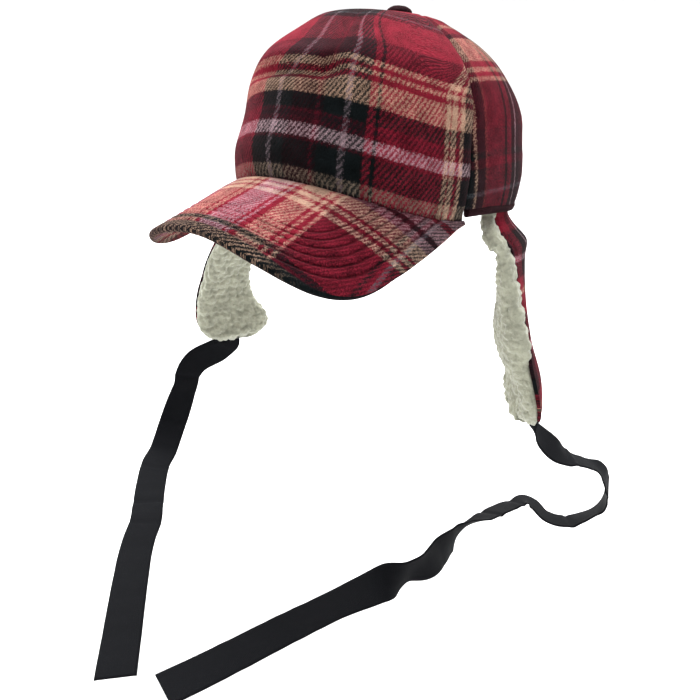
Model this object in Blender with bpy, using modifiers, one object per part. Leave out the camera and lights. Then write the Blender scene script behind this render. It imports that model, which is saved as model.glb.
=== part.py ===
"""Ear-flap cap: a five-panel check wool crown with a turned hem, a curved peak, a cloth button,
two fleece-lined ear flaps and two ribbon ties. Metres, +Z up, front along -Y, wearer's left along +X.
The origin is where a head holds the cap, in the middle of the head opening."""

import math

import bmesh
import bpy
import numpy as np

# Crown: half lengths of the head opening, height of the crown over the origin, backward lean of the top
HALF_FRONT = 0.1048
HALF_BACK = 0.1009
HALF_SIDE = 0.0852
OVAL_POWER = 2.16
CROWN_HEIGHT = 0.1207
CROWN_LEAN = 0.0058
CROWN_TILT = 0.053  # the top slopes down to the back
CLOTH = 0.0025
SEAM_GAP = 0.0008
FRONT_SEAM = 66.3  # degrees from the front
BACK_SEAM = 126.0
APEX_HOLE = 0.0035

# Crown section: share of the height, then the share of the opening's size at front, side and back,
# and how much the back quarters pull in
SECTION = (
    (0.00, 1.000, 1.000, 1.000, 0.00),
    (0.18, 1.026, 1.021, 1.042, 0.00),
    (0.38, 0.968, 0.996, 1.039, 0.02),
    (0.57, 0.938, 0.954, 0.982, 0.04),
    (0.73, 0.859, 0.838, 0.834, 0.10),
    (0.86, 0.684, 0.637, 0.637, 0.09),
    (0.95, 0.525, 0.417, 0.398, 0.09),
    (0.99, 0.289, 0.277, 0.204, 0.00),
    (1.00, 0.020, 0.020, 0.020, 0.00),
)

# Hem: turned band round the sides and the back
HEM_HEIGHT = 0.0062
HEM_THICK = 0.0042
HEM_PROUD = 0.0006
BACK_DROP = -0.0041  # height of the opening's edge at the middle of the back

# Peak: reach, half width, thickness and bend
PEAK_REACH = 0.0660
# Shape of the outline on the wearer's left (+1) and right (-1)
PEAK_HALF = {1: 0.0839, -1: 0.0874}
PEAK_THICK = 0.0036
PEAK_CORNER = 68.0  # degrees from the front where the peak ends
PEAK_TOP = 0.0311  # height where the peak leaves the middle of the crown
PEAK_SLOPE = 0.297
PEAK_BEND = 0.0995  # radius of the arch across the peak
PEAK_MORE = 0.353  # extra bend towards the front edge
PEAK_TWIST = -0.044
PEAK_FRONT_POWER = {1: 0.450, -1: 0.596}
PEAK_SIDE_POWER = {1: 0.820, -1: 0.742}
PEAK_ROOT_GAP = 0.0007
FRONT_SKIRT = 0.0042  # how far the front panel runs down behind the peak's root

# Button
BUTTON_RADIUS = 0.0082
BUTTON_HEIGHT = 0.0058

# Ear flaps: length below the origin, half widths, outward bow of the section, and the hang of each side
FLAP_TOP_HALF = 0.044
FLAP_BOW = 0.0056
FLAP_END = 0.985
FLEECE_THICK = 0.0092
FLAP_INSET = 0.0048  # flap lies this far inside the crown's outer face at the hem
FLAP_MIDDLE = 115.0  # degrees from the front of the middle of its sewn edge, and half its spread
FLAP_SPREAD = 21.0
# Wearer's left (+1) and right (-1): length below the origin, flare, sway to the back, twist in degrees,
# shift, start and bulge
HANG = {
    1: (0.1390, 0.0330, 0.0020, -45.7, 0.0191, 0.0844, 0.0000),
    -1: (0.1360, 0.0604, -0.0211, -25.4, -0.0048, 0.0819, 0.0242),
}
# The same sides: half width in the middle and near the end, share of the length where the end starts
# to round, and how much of the shell's half width the fleece rolls over at the front edge
FLAP_SHAPE = {1: (0.0345, 0.0300, 0.79, 0.22), -1: (0.0315, 0.0325, 0.82, 0.0)}

# Ribbon ties
RIBBON_WIDTH = 0.023
RIBBON_THICK = 0.0010
# Each row: centre x, y, z, then the direction across the ribbon as a compass angle and a tilt, in
# millimetres and degrees
TIE_RIGHT = (
    (-143.4, -16.2, -134.7, 59, 0),
    (-143.4, -16.2, -140.5, 59, 0),
    (-150, -23, -147, 52, -20),
    (-159, -34, -154, 54, -30),
    (-163, -42, -163, 66, -20),
    (-163, -48, -177, 74, -22),
    (-162, -57, -191, 60, -14),
    (-160, -69, -209, 42, -4),
    (-155, -82, -222, 42, -4),
    (-147, -97, -226, 50, -10),
    (-127, -118, -227, 49, -6),
    (-108, -136, -228.5, 44, 0),
    (-95, -148, -228, 46, -4),
    (-76, -171, -229, 42, 0),
    (-50, -196, -229, 44, 0),
    (-24, -220, -229, 43, 0),
    (3, -245, -229, 42, 0),
)
TIE_LEFT = (
    (118.0, 32.4, -138.0, -39, 0),
    (118.0, 32.4, -143, -40, 0),
    (123, 37, -149, -80, 8),
    (135, 44, -162, -104, 10),
    (145, 51, -170, -92, 11),
    (157, 60, -174.5, -85, 17),
    (167, 66, -179, -88, 15),
    (173, 70, -190, -86, 22),
    (175, 72, -206, -68, 26),
    (169, 69, -219, -62, 27),
    (154.5, 55, -225.5, -66, 16),
    (140, 49.5, -225.5, -73, 15),
    (128, 51, -221, -77, 16),
    (120, 48, -219, -72, 18),
    (113, 37, -221, -66, 17),
    (106, 20, -222, -60, 21),
    (101, -0.5, -220.5, -61, 29),
    (99.5, -21.5, -218, -74, 40),
    (100, -33.5, -218, -90, 47),
    (99.5, -48, -218, -113, 51),
    (98.5, -64.5, -218, -116, 51),
    (92, -81.5, -217.5, -102, 47),
    (81, -102, -221.5, -172, 10),
    (66, -125, -228.5, -197, 0),
    (54, -160, -229, -197, 0),
    (42, -197, -229, -197, 0),
    (30, -234, -229, -196, 0),
)

# Mesh fineness
AROUND = 2.0 * math.pi
ROWS_UP = 15


def clear_scene():
    for obj in list(bpy.data.objects):
        bpy.data.objects.remove(obj, do_unlink=True)


def smooth(k):
    k = min(1.0, max(0.0, k))
    return k * k * (3.0 - 2.0 * k)


def through(rows, t):
    """The point at share t of the smooth curve that runs through equally spaced rows."""
    rows = np.asarray(rows, float)
    last = len(rows) - 1
    s = min(max(t, 0.0), 1.0) * last
    i = min(int(s), last - 1)
    u = s - i
    a, b, c, d = (rows[min(max(i + k, 0), last)] for k in (-1, 0, 1, 2))
    return 0.5 * (2 * b + (c - a) * u + (2 * a - 5 * b + 4 * c - d) * u**2 + (3 * b - a - 3 * c + d) * u**3)


def opening_radius(turn):
    half = HALF_FRONT if math.cos(turn) > 0 else HALF_BACK
    n = OVAL_POWER
    return (abs(math.cos(turn) / half) ** n + abs(math.sin(turn) / HALF_SIDE) ** n) ** (-1.0 / n)


def peak_height(x, y):
    """Height of the peak's upper face: it slopes down to the front and arches across."""
    out = (-y - HALF_FRONT) / PEAK_REACH
    reach = min(max(out, 0.0), 1.2)
    arch = PEAK_BEND - math.sqrt(max(PEAK_BEND**2 - x * x, 1e-6))
    twist = PEAK_TWIST * x * min(max(out, -0.3), 1.2)
    return PEAK_TOP - PEAK_SLOPE * (-y - HALF_FRONT) - arch * (1.0 + PEAK_MORE * reach) + twist


def edge_height(turn):
    """Height of the opening's edge at this angle from the front."""
    corner = math.radians(PEAK_CORNER)
    r = opening_radius(turn)
    if abs(turn) < corner:
        return peak_height(r * math.sin(turn), -r * math.cos(turn))
    rc = opening_radius(corner)
    start = peak_height(math.copysign(rc * math.sin(corner), turn), -rc * math.cos(corner))
    return start + (BACK_DROP - start) * smooth((abs(turn) - corner) / (math.pi - corner))


def crown_point(turn, t):
    """A point of the crown's outer face, at an angle from the front and a share t of the section."""
    up, front, side, back, pull = through(SECTION, t)
    c, s = math.cos(turn), math.sin(turn)
    share = (front if c > 0 else back) * c * c + side * s * s
    if c < 0:
        share *= 1.0 - pull * 4 * c * c * s * s
    r = opening_radius(turn) * share
    y = -r * c + CROWN_LEAN * up
    z = edge_height(turn) * (1.0 - up) + CROWN_HEIGHT * up - CROWN_TILT * (y - CROWN_LEAN) * up * up
    return (r * s, y, z)


def share_at(turn, rise):
    """The share t where the crown is this far above its edge."""
    t = 0.0
    edge = edge_height(turn)
    while crown_point(turn, t)[2] < edge + rise:
        t += 0.001
    return t


def apex_share():
    t = 0.96
    while math.hypot(*crown_point(0.0, t)[:2]) > APEX_HOLE + CROWN_LEAN:
        t += 0.0005
    return t


def material(name, colour, roughness):
    mat = bpy.data.materials.new(name)
    mat.use_nodes = True
    shader = mat.node_tree.nodes["Principled BSDF"]
    shader.inputs["Base Color"].default_value = (*colour, 1.0)
    shader.inputs["Roughness"].default_value = roughness
    shader.inputs["Metallic"].default_value = 0.0
    return mat


def sheet(name, across, along, place, mat, thick, offset=-1.0, flip=False, bevel=0.0, drop=None):
    """A grid whose points are placed by place(u, v), u and v from 0 to 1, then given its thickness:
    square to its face, or straight down by drop(point)."""
    bm = bmesh.new()
    bmesh.ops.create_grid(bm, x_segments=across, y_segments=along, size=0.5)
    for vert in bm.verts:
        vert.co = place(vert.co.x + 0.5, vert.co.y + 0.5)
    if drop:
        grown = bmesh.ops.extrude_face_region(bm, geom=bm.faces[:])["geom"]
        for vert in (g for g in grown if isinstance(g, bmesh.types.BMVert)):
            vert.co.z -= drop(vert.co)
        bmesh.ops.recalc_face_normals(bm, faces=bm.faces)
    if flip:
        bmesh.ops.reverse_faces(bm, faces=bm.faces)
    mesh = bpy.data.meshes.new(name)
    bm.to_mesh(mesh)
    bm.free()
    mesh.materials.append(mat)
    obj = bpy.data.objects.new(name, mesh)
    collection.objects.link(obj)
    if thick:
        solid = obj.modifiers.new("Thickness", "SOLIDIFY")
        solid.thickness = thick
        solid.offset = offset
        solid.use_even_offset = False
    if bevel:
        edge = obj.modifiers.new("Rounded edge", "BEVEL")
        edge.width = bevel
        edge.segments = 1
        edge.limit_method = "ANGLE"
        edge.angle_limit = math.radians(50)
        edge.use_clamp_overlap = True
    mesh.shade_smooth()
    return obj


def panel(name, start, end, columns, mat, rise, skirt=0.0):
    """A crown panel between two seams, given as angles from the front in degrees. A skirt carries its
    lowest row straight down."""
    top = apex_share()
    low, high = math.radians(start), math.radians(end)
    lowest = {}

    def place(u, v):
        turn = low + (high - low) * u
        key = round(u, 4)
        if key not in lowest:
            lowest[key] = share_at(turn, rise)
        t = lowest[key] + (top - lowest[key]) * v
        radius = max(0.002, math.hypot(*crown_point(turn, t)[:2]))
        half_gap = 0.5 * SEAM_GAP / radius
        turn = (low + half_gap) + (high - low - 2 * half_gap) * u
        x, y, z = crown_point(turn, t)
        return (x, y, z - skirt * max(0.0, 1.0 - v * ROWS_UP))

    return sheet(name, columns, ROWS_UP, place, mat, CLOTH)


def hem_band(mat):
    """The turned hem, from one end of the peak round the back to the other."""
    first = math.radians(PEAK_CORNER + 0.7)

    def place(u, v):
        turn = first + (AROUND - 2 * first) * u
        signed = turn if turn <= math.pi else turn - AROUND
        x, y, z = crown_point(signed, share_at(signed, 0.0))
        r = math.hypot(x, y) + HEM_PROUD
        return (r * math.sin(signed), -r * math.cos(signed), edge_height(signed) + HEM_HEIGHT * v)

    return sheet("rim_band", 40, 1, place, mat, HEM_THICK, bevel=0.0012)


def peak_edge(steps=400):
    """The peak's outer edge from the wearer's right to left, as points at equal steps."""
    corner = math.radians(PEAK_CORNER)
    rc = opening_radius(corner)
    y0 = -rc * math.cos(corner)
    points = []
    for k in range(steps + 1):
        a = (2.0 * k / steps - 1.0) * math.pi / 2
        side = 1 if a >= 0 else -1
        x = side * PEAK_HALF[side] * abs(math.sin(a)) ** PEAK_SIDE_POWER[side]
        y = y0 - (HALF_FRONT + PEAK_REACH + y0) * max(math.cos(a), 0.0) ** PEAK_FRONT_POWER[side]
        points.append((x, y))
    points = np.array(points)
    run = np.concatenate([[0.0], np.cumsum(np.hypot(*np.diff(points, axis=0).T))])
    return points, run / run[-1]


def peak(mat):
    points, run = peak_edge()
    corner = math.radians(PEAK_CORNER)

    def place(u, v):
        s = (2 * u - 1) * 0.972
        turn = s * corner
        r = opening_radius(turn) + PEAK_ROOT_GAP
        inner = np.array((r * math.sin(turn), -r * math.cos(turn)))
        share = 0.5 + 0.5 * s
        outer = np.array([np.interp(share, run, points[:, k]) for k in (0, 1)])
        x, y = inner + (outer - inner) * v
        return (x, y, peak_height(x, y))

    def drop(point):
        """The board and its cloth keep their thickness square to the bent face."""
        lean = min(abs(point.x) / PEAK_BEND, 0.8)
        return min(PEAK_THICK / math.sqrt(1.0 - lean**2), 0.0045)

    return sheet("peak", 36, 7, place, mat, 0.0, bevel=0.0014, drop=drop)


def flap_point(side, u, v):
    """A point of an ear flap's outer face: u from its front edge (-1) to its back edge (+1), v down."""
    length, flare, sway, twist, shift, start, bulge = HANG[side]
    middle, low, round_from, _ = FLAP_SHAPE[side]
    angle = math.radians(-6.0 + twist * v)
    half = np.interp(
        v,
        (0.0, 0.1, 0.22, round_from, 1.0),
        (FLAP_TOP_HALF, 0.035, middle, low, low),
    )
    end = min(max((v - round_from) / (1.0 - round_from), 0.0), 1.0)
    half *= math.sqrt(max(1.0 - end**2.4, 0.0))
    bow = np.interp(v, (0.0, 0.3, 1.0), (0.010, FLAP_BOW, 0.6 * FLAP_BOW))
    bow *= 1.0 - u * u
    x = start + flare * v + bulge * 4 * v * (1.0 - v) + math.sin(angle) * u * half + math.cos(angle) * bow
    y = 0.010 + sway * v + shift * min(v / 0.16, 1.0) + math.cos(angle) * u * half - math.sin(angle) * bow
    top = 0.008 - 0.003 * u
    free = np.array((side * x, y, top - (length + top) * v))
    # At the hem the flap follows the inside of the opening
    turn = math.radians(FLAP_MIDDLE + FLAP_SPREAD * u)
    r = opening_radius(turn) - FLAP_INSET
    sewn = np.array((side * r * math.sin(turn), -r * math.cos(turn), edge_height(side * turn) + 0.004))
    sewn[2] -= v * length * 1.05
    k = smooth((v - 0.03) / 0.11)
    return sewn * (1.0 - k) + free * k


def flap_pair(side, shell_mat, fleece_mat):
    word = "left" if side > 0 else "right"

    roll = FLAP_SHAPE[side][-1]

    def place(u, v):
        return flap_point(side, 2 * u - 1, v * FLAP_END)

    def place_shell(u, v):
        return place(u + 0.5 * roll * (1 - u) * smooth(v / 0.06), v)

    # The fleece lies against the inner face of the shell
    under = -1.0 - 2.0 * (CLOTH + 0.0004) / FLEECE_THICK
    sheet(f"ear_flap_{word}", 8, 18, place_shell, shell_mat, CLOTH, flip=side > 0)
    sheet(f"flap_fleece_{word}", 8, 18, place, fleece_mat, FLEECE_THICK, under, side > 0, 0.002)


def ribbon(name, rows, mat):
    """A flat strip along a smooth curve through the rows, with its width across the curve."""
    steps = 3 * (len(rows) - 1)
    stations = []
    for k in range(steps + 1):
        x, y, z, compass, tilt = through(rows, k / steps)
        a, b = math.radians(compass), math.radians(tilt)
        across = np.array((math.cos(b) * math.cos(a), math.cos(b) * math.sin(a), math.sin(b)))
        stations.append((np.array((x, y, z)) / 1000.0, across))
    fixed = []
    for k, (point, across) in enumerate(stations):
        ahead = stations[min(k + 1, steps)][0] - stations[max(k - 1, 0)][0]
        if k == 0:
            # It leaves the flap square to the flap's end
            ahead = np.array(rows[1][:3], float) - rows[0][:3]
        ahead /= np.linalg.norm(ahead)
        across = across - ahead * across.dot(ahead)
        fixed.append((point, across / np.linalg.norm(across)))

    def place(u, v):
        point, across = fixed[round(v * steps)]
        return point + across * (u - 0.5) * RIBBON_WIDTH

    return sheet(name, 1, steps, place, mat, RIBBON_THICK, offset=0.0)


def button(mat):
    """A covered button: a turned dome with a flat underside."""
    seat = crown_point(0.0, apex_share())
    base = CROWN_HEIGHT - 0.0001
    profile = [(0.0, BUTTON_HEIGHT)]
    for k in range(1, 7):
        a = k / 6 * math.pi / 2
        profile.append((BUTTON_RADIUS * math.sin(a), 0.0016 + (BUTTON_HEIGHT - 0.0016) * math.cos(a)))
    profile += [(BUTTON_RADIUS * 0.93, 0.0004), (BUTTON_RADIUS * 0.8, 0.0), (0.0, 0.0)]
    mesh = bpy.data.meshes.new("top_button")
    bm = bmesh.new()
    verts = [bm.verts.new((r, 0.0, z)) for r, z in profile]
    for a, b in zip(verts, verts[1:]):
        bm.edges.new((a, b))
    bm.to_mesh(mesh)
    bm.free()
    mesh.materials.append(mat)
    obj = bpy.data.objects.new("top_button", mesh)
    collection.objects.link(obj)
    obj.location = (0.0, CROWN_LEAN, base)
    turn = obj.modifiers.new("Turned", "SCREW")
    turn.steps = turn.render_steps = 24
    turn.use_merge_vertices = True
    turn.merge_threshold = 0.00005
    mesh.shade_smooth()
    return obj, seat


clear_scene()
collection = bpy.data.collections.new("ear_flap_cap")
bpy.context.scene.collection.children.link(collection)

wool = material("check wool", (0.23, 0.025, 0.035), 0.9)
wool_side = material("check wool side", (0.20, 0.020, 0.030), 0.9)
wool_peak = material("check wool peak", (0.26, 0.035, 0.045), 0.9)
maroon = material("maroon wool", (0.06, 0.012, 0.016), 0.9)
fleece_white = material("fleece", (0.66, 0.66, 0.55), 0.95)
ribbon_black = material("black ribbon", (0.012, 0.013, 0.016), 0.65)

PANEL_RISE = HEM_HEIGHT + 0.0005
panel("crown_front", -FRONT_SEAM, FRONT_SEAM, 22, wool, 0.0, FRONT_SKIRT)
for sign, side_word in ((1, "left"), (-1, "right")):
    edges = sorted((sign * FRONT_SEAM, sign * BACK_SEAM))
    panel(f"crown_side_{side_word}", *edges, 11, wool_side, PANEL_RISE)
    edges = sorted((sign * BACK_SEAM, sign * 180.0))
    panel(f"crown_back_{side_word}", *edges, 10, wool_side, PANEL_RISE)
hem_band(maroon)
peak(wool_peak)
button(maroon)
for sign in (1, -1):
    flap_pair(sign, wool_side, fleece_white)
ribbon("tie_ribbon_left", TIE_LEFT, ribbon_black)
ribbon("tie_ribbon_right", TIE_RIGHT, ribbon_black)
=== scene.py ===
"""Dressed scene of an ear-flap cap in brushed check wool, with fleece-lined flaps and ribbon ties.

The cap's solids are the fixed frame. Each piece here stands for one of them, in metres, +Z up,
with the peak along -Y and the wearer's left along +X."""

import math

import bpy
import numpy as np
from bpy.props import FloatProperty, FloatVectorProperty, IntProperty, PointerProperty
from mathutils import Matrix, Vector, kdtree


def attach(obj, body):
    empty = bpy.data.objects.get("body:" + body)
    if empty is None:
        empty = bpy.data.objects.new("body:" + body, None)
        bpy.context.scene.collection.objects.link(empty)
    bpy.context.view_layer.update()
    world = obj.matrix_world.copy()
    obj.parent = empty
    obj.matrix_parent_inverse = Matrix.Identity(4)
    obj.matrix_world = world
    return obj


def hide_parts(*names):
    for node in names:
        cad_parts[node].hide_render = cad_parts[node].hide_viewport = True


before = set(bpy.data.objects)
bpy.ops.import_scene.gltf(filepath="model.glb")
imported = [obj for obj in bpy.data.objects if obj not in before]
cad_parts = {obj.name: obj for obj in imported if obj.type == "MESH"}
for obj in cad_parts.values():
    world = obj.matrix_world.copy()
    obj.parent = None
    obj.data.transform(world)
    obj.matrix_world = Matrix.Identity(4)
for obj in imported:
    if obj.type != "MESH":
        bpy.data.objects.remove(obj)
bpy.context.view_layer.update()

bl_info = {
    "name": "Ear-flap cap",
    "version": (1, 0, 0),
    "blender": (4, 5, 0),
    "location": "3D View > Sidebar > Cap",
    "description": "Makes a check wool cap with fleece-lined ear flaps and ribbon ties",
    "category": "Add Mesh",
}

# Crown: half lengths of the head opening, height over the origin, backward lean and tilt of the top
HALF_FRONT = 0.1048
HALF_BACK = 0.1009
HALF_SIDE = 0.0852
OVAL_POWER = 2.16
CROWN_HEIGHT = 0.1207
CROWN_LEAN = 0.0058
CROWN_TILT = 0.053
FRONT_SEAM = 66.3
BACK_SEAM = 126.0
# Share of the height, the opening's size at front, side and back, and the pull of the back quarters
SECTION = (
    (0.00, 1.000, 1.000, 1.000, 0.00),
    (0.18, 1.026, 1.021, 1.042, 0.00),
    (0.38, 0.968, 0.996, 1.039, 0.02),
    (0.57, 0.938, 0.954, 0.982, 0.04),
    (0.73, 0.859, 0.838, 0.834, 0.10),
    (0.86, 0.684, 0.637, 0.637, 0.09),
    (0.95, 0.525, 0.417, 0.398, 0.09),
    (0.99, 0.289, 0.277, 0.204, 0.00),
    (1.00, 0.020, 0.020, 0.020, 0.00),
)
# Radius that the front panel's cloth is laid out round, and how far it hangs down behind the peak
FRONT_FLAT_RADIUS = 0.1036
FRONT_SKIRT = 0.0040
# The front panel's fold: its height over the edge, the dent, and the fuller cloth above it
FOLD_HEIGHT = 0.0585
FOLD_DENT = 0.0040
FOLD_BULGE = 0.0026
# How far the front panel stands out over the end of the peak on the wearer's right
SIDE_BUMP = 0.0048
# Where the panels end, as a share of the section: just short of the top, under the button
PANEL_END = 0.9985
# Hem and peak
HEM_HEIGHT = 0.0062
BACK_DROP = -0.0041
PEAK_HALF = {1: 0.0839, -1: 0.0874}
PEAK_REACH = 0.0660
PEAK_CORNER = 68.0
PEAK_TOP = 0.0311
PEAK_SLOPE = 0.297
PEAK_BEND = 0.0995
PEAK_MORE = 0.353
PEAK_TWIST = -0.044
PEAK_FRONT_POWER = {1: 0.450, -1: 0.596}
PEAK_SIDE_POWER = {1: 0.820, -1: 0.742}
PEAK_ROOT_GAP = 0.0007
FIRST_STITCH_ROW = 0.0080
# Flaps
FLAP_TOP_HALF = 0.044
FLAP_BOW = 0.0056
FLAP_END = 0.985
FLAP_INSET = 0.0048
FLAP_MIDDLE = 115.0
FLAP_SPREAD = 21.0
# Wearer's left (+1) and right (-1): length below the origin, flare, sway to the back, twist in degrees,
# shift, start and bulge
HANG = {
    1: (0.1390, 0.0330, 0.0020, -45.7, 0.0191, 0.0844, 0.0000),
    -1: (0.1360, 0.0604, -0.0211, -25.4, -0.0048, 0.0819, 0.0242),
}
# Half width in the middle and near the end, where the end starts to round, and the fleece's roll
FLAP_SHAPE = {1: (0.0345, 0.0300, 0.79, 0.22), -1: (0.0315, 0.0325, 0.82, 0.0)}
# How far each edge of a hanging flap lies from the cut line, as shares of its width from top to end
FLAP_FRONT_LINE = {1: (0.0,) * 11, -1: (0.0, 0.0, 0.0, 0.0, 0.0, 0.02, 0.05, 0.055, 0.07, 0.09, 0.09)}
FLAP_BACK_LINE = {
    1: (0.0,) * 11,
    -1: (0.0, 0.0, -0.08, -0.22, -0.31, -0.34, -0.32, -0.23, -0.09, 0.06, 0.12),
}
# Depth of the fleece from top to end, as shares of its full depth
FLEECE_DEPTH = {
    1: (0.7, 0.7, 0.80, 1.30, 1.60, 1.85, 2.00, 1.85, 1.40, 1.40, 1.85),
    -1: (0.7, 0.9, 1.0, 1.0, 1.0, 1.0, 1.0, 1.0, 1.0, 1.0, 1.0),
}
# How far the back half of a flap stands out from the cut line, in millimetres from top to end
FLAP_TURN = {
    1: (1.5, 0.6, -1.4, -1.0, -0.2, 0.3, 1.3, 3.6, 5.6, 5.8, 5.6),
    -1: (0.0,) * 11,
}
# Ties: centre x, y, z in millimetres, then the direction across as a compass angle and a tilt
TIE_RIGHT = (
    (-143.4, -16.2, -134.7, 59, 0),
    (-143.4, -16.2, -140.5, 59, 0),
    (-150, -23, -147, 52, -20),
    (-159, -34, -154, 54, -30),
    (-163, -42, -163, 66, -20),
    (-163, -48, -177, 74, -22),
    (-162, -57, -191, 60, -14),
    (-160, -69, -209, 42, -4),
    (-155, -82, -222, 42, -4),
    (-147, -97, -226, 50, -10),
    (-127, -118, -227, 49, -6),
    (-108, -136, -228.5, 44, 0),
    (-95, -148, -228, 46, -4),
    (-76, -171, -229, 42, 0),
    (-50, -196, -229, 44, 0),
    (-24, -220, -229, 43, 0),
    (3, -245, -229, 42, 0),
)
TIE_LEFT = (
    (118.0, 32.4, -138.0, -39, 0),
    (118.0, 32.4, -143, -40, 0),
    (123, 37, -149, -80, 8),
    (135, 44, -162, -104, 10),
    (145, 51, -170, -92, 11),
    (157, 60, -174.5, -85, 17),
    (167, 66, -179, -88, 15),
    (173, 70, -190, -86, 22),
    (175, 72, -206, -68, 26),
    (169, 69, -219, -62, 27),
    (154.5, 55, -225.5, -66, 16),
    (140, 49.5, -225.5, -73, 15),
    (128, 51, -221, -77, 16),
    (120, 48, -219, -72, 18),
    (113, 37, -221, -66, 17),
    (106, 20, -222, -60, 21),
    (101, -0.5, -220.5, -61, 29),
    (99.5, -21.5, -218, -74, 40),
    (100, -33.5, -218, -90, 47),
    (99.5, -48, -218, -113, 51),
    (98.5, -64.5, -218, -116, 51),
    (92, -81.5, -217.5, -102, 47),
    (81, -102, -221.5, -172, 10),
    (66, -125, -228.5, -197, 0),
    (54, -160, -229, -197, 0),
    (42, -197, -229, -197, 0),
    (30, -234, -229, -196, 0),
)
# How far down each ribbon its creases lie, in metres
TIE_CREASES = (0.052, 0.094, 0.141, 0.186, 0.212)
FLOOR_HEIGHT = -0.36
# Lamps: name, place, width in metres and power in watts
SOFTBOXES = (("overhead", (-0.3, 0.8, 1.9), 2.4, 145.0), ("key", (-1.2, -0.35, 0.9), 1.6, 30.0))
# Camera: its place, how far it is turned round and rolled in degrees, its focal length and how far the
# middle lies below the horizon, in pixels of the photograph, and the sensor's width in millimetres
CAMERA_PLACE = (0.2545, -0.3904, 0.0909)
CAMERA_TURN = 35.208
CAMERA_ROLL = 2.856
FOCAL_PIXELS = 661.165
HORIZON_PIXELS = 285.556
PHOTO_PIXELS = 700
SENSOR_WIDTH = 36.0
# Yarn colours are mixed as their shades: the power of the shade
SHADE_POWER = 2.2


def bands(words):
    """A table of where each yarn starts, in millimetres, and its name."""
    pairs = (band.split() for band in words.split(","))
    return tuple((float(start), name) for start, name in pairs)


# The check, as the yarns that run one way across a piece
FRONT_WARP = bands(
    "-140 red, -24 charcoal, -10.8 mist, -7.6 charcoal, 1 plum, 17.5 wine, 19 plum, 22 charcoal, "
    "33.4 mist, 36.8 charcoal, 47 red, 51.5 charcoal, 53.5 red, 95 straw, 98 red, 99.5 straw, 104 red, "
    "107.5 straw, 110.5 charcoal"
)
# On the front, the rows from 86 mm up are red instead of wine: partly the red ground of the check, partly a
# painted highlight where the top of the crown turns up to the light
FRONT_WEFT = bands(
    "-6 maroon, 1 moss, 7 charcoal, 22 wine, 24 lilac, 31 wine, 34 maroon, 37 wine, 39 charcoal, "
    "47.5 straw, 60.5 red, 63.5 straw, 66 red, 69 straw, 72 wine, 86 red, 112 maroon, 116 slate, "
    "118 charcoal, 131 red"
)
SIDE_WARP = bands(
    "-60 charcoal, -47 straw, -45 maroon, -37 coral, -35 red, -13 charcoal, -10 red, -3 charcoal, "
    "3 lilac, 5 charcoal, 13 maroon, 27 red, 44 charcoal"
)
SIDE_WEFT = bands(
    "-12 charcoal, 10 slate, 12.5 charcoal, 26 wine, 31 charcoal, 35 maroon, 48 wine, 74.5 straw, "
    "77 red, 80.5 straw, 83.5 red, 88 straw, 108 maroon, 113 red, 120 straw, 124 red"
)
HEM_WARP = bands("-300 plum, 300 plum")
HEM_WEFT = bands("-20 plum, 20 maroon")
PEAK_WARP = bands(
    "-125 slate, -98 red, -93 coral, -78 cream, -70 coral, -66 cream, -58 rose, -50 coral, -44 rose, "
    "-34 cream, -15 coral, -13 cream, -9 red, -6 lilac, 10.5 red, 13 lilac, 15 red, 19 cream, 32.5 red, "
    "35 cream, 37 red, 39.5 cream, 42 wine, 80 charcoal, 83 wine, 86 slate, 89 charcoal, 98 cream, "
    "100 charcoal"
)
PEAK_WEFT = bands(
    "30 red, 60 rose, 74 red, 80 rose, 92 maroon, 97 rose, 104 cream, 115 red, 117.5 cream, 120 red, "
    "123 cream, 127 red, 163.5 charcoal, 167.5 wine, 172 charcoal, 192 red, 200 red"
)
FLAP_WARP = bands(
    "-60 charcoal, -33 maroon, -26 red, -12 charcoal, 0 lilac, 3 charcoal, 12 maroon, 24 wine, "
    "29 charcoal, 40 charcoal"
)
FLAP_WEFT = bands(
    "-160 maroon, -150 charcoal, -134 red, -124 straw, -121 red, -112 charcoal, -100 maroon, -84 lilac, "
    "-79 charcoal, -62 red, -50 straw, -47 red, -40 charcoal, -30 lilac, -26 charcoal, -13 red, "
    "5 maroon"
)
BACK_WARP = bands(
    "-90 red, -58 charcoal, -46 lilac, -42 charcoal, -31 straw, -20 red, -17.5 straw, -15 red, "
    "-12 straw, -9 red, 27 charcoal, 30 red, 35 charcoal, 47 lilac, 52 maroon"
)


def length(name, words, default, low, high):
    return FloatProperty(name=name, description=words, default=default, min=low, max=high, unit="LENGTH")


class CapSizes(bpy.types.PropertyGroup):
    """Sizes of the cap's cloth and trim."""

    cloth: length("Cloth", "Thickness of the backed wool", 0.0025, 0.001, 0.004)
    seam_depth: length("Seam depth", "How far the cloth turns in at a seam", 0.0011, 0.0, 0.003)
    peak_edge: length("Peak edge", "Thickness of the peak's rolled edge", 0.0044, 0.002, 0.008)
    stitch_rows: IntProperty(
        name="Stitch rows", description="Rows of stitching along the peak", default=6, min=0, max=10
    )
    row_pitch: length("Row pitch", "Distance between the peak's stitch rows", 0.0041, 0.002, 0.008)
    fleece: length("Fleece", "Depth of the fleece in the middle of a flap", 0.0095, 0.004, 0.014)
    pile: length("Pile", "Height of the fleece's curls", 0.0020, 0.0, 0.003)
    ribbon_width: length("Ribbon width", "Width of a tie", 0.023, 0.01, 0.04)
    ribbon_thick: length("Ribbon thickness", "Thickness of a tie", 0.0009, 0.0004, 0.002)
    button: length("Button", "Radius of the cloth button", 0.0082, 0.005, 0.012)


def linear(code):
    """A six-digit sRGB colour as linear red, green and blue."""
    values = [int(code[k : k + 2], 16) / 255 for k in (0, 2, 4)]
    return tuple(v / 12.92 if v <= 0.04045 else ((v + 0.055) / 1.055) ** 2.4 for v in values)


def yarn(name, words, code):
    return FloatVectorProperty(
        name=name, description=words, subtype="COLOR", size=3, min=0.0, max=1.0, default=linear(code)
    )


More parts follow.
